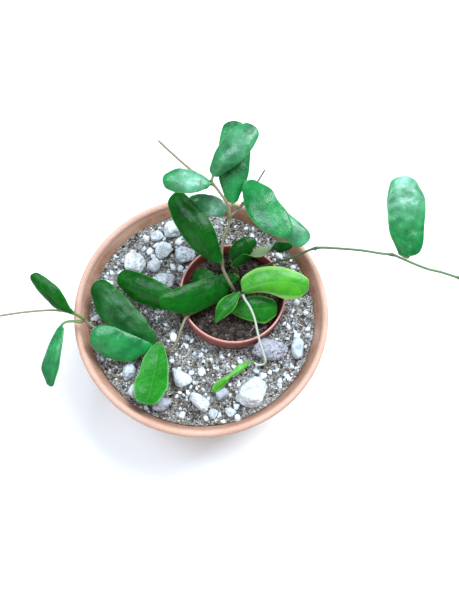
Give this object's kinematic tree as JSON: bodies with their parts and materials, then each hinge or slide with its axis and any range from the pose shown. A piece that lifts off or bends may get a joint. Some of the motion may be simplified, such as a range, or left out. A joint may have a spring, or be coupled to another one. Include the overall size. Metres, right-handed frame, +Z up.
{
  "type": "potted hoya plant",
  "caption": "Trailing hoya with thick oval glossy leaves in a small plastic nursery pot, sunk in a wide clay bowl of gritty pumice mix.",
  "frame": {"origin": "centre of the bowl's flat foot, where it rests on the table", "axes": "+Z up out of the bowl, +X towards the side where the longest vine trails out, -Y towards the viewer's side with the young shoot"},
  "size_m": [0.2603, 0.1681, 0.1436],
  "materials": {
    "terracotta": "unglazed fired clay, pale and dusty on the lip",
    "gritty_mix": "loose grit of bark, sand and perlite",
    "pot_plastic": "thin moulded plastic, satin",
    "peat": "dark fibrous potting soil",
    "leaf_green": "thick waxy leaf, glossy and lightly quilted",
    "leaf_lime": "younger waxy leaf, bright lime green",
    "stem_pale": "pale beige-green vine stem, satin",
    "stem_green": "dark green vine stem, satin",
    "pumice": "rough porous pumice and perlite lumps"
  },
  "bodies": {
    "root": {"bowl": "terracotta", "bowl_mix": "gritty_mix", "leaf_bowl_big": "leaf_green", "leaf_bowl_round": "leaf_green", "leaf_branch_front": "leaf_green", "leaf_branch_right": "leaf_green", "leaf_bright_front": "leaf_lime", "leaf_crown_back": "leaf_green", "leaf_crown_left": "leaf_green", "leaf_crown_top": "leaf_green", "leaf_far_right": "leaf_green", "leaf_in_pot_front": "leaf_green", "leaf_in_pot_left": "leaf_green", "leaf_lime_front": "leaf_lime", "leaf_low_left": "leaf_green", "leaf_mid_long": "leaf_green", "leaf_mid_small": "leaf_green", "leaf_outer_low": "leaf_green", "leaf_outer_top": "leaf_green", "leaf_over_rim": "leaf_green", "leaf_pot_back": "leaf_green", "leaf_pot_twisted": "leaf_green", "leaf_shoot_tip": "leaf_lime", "leaf_young_front": "leaf_green", "nursery_pot": "pot_plastic", "pot_soil": "peat", "stone_back_large": "pumice", "stone_back_mid": "pumice", "stone_back_rough": "pumice", "stone_back_small": "pumice", "stone_edge_front": "pumice", "stone_edge_left": "pumice", "stone_front_blue": "pumice", "stone_front_chip": "pumice", "stone_front_large": "pumice", "stone_front_left": "pumice", "stone_front_long": "pumice", "stone_front_pebble": "pumice", "stone_left_large": "pumice", "stone_left_low": "pumice", "stone_left_mid": "pumice", "stone_pitted": "pumice", "stone_rough_left": "pumice", "stone_smooth": "pumice", "vine_front": "stem_pale", "vine_inner": "stem_green", "vine_left": "stem_pale", "vine_right": "stem_green", "vine_upright": "stem_pale", "vine_upright_branch": "stem_pale"}
  },
  "joints": []
}
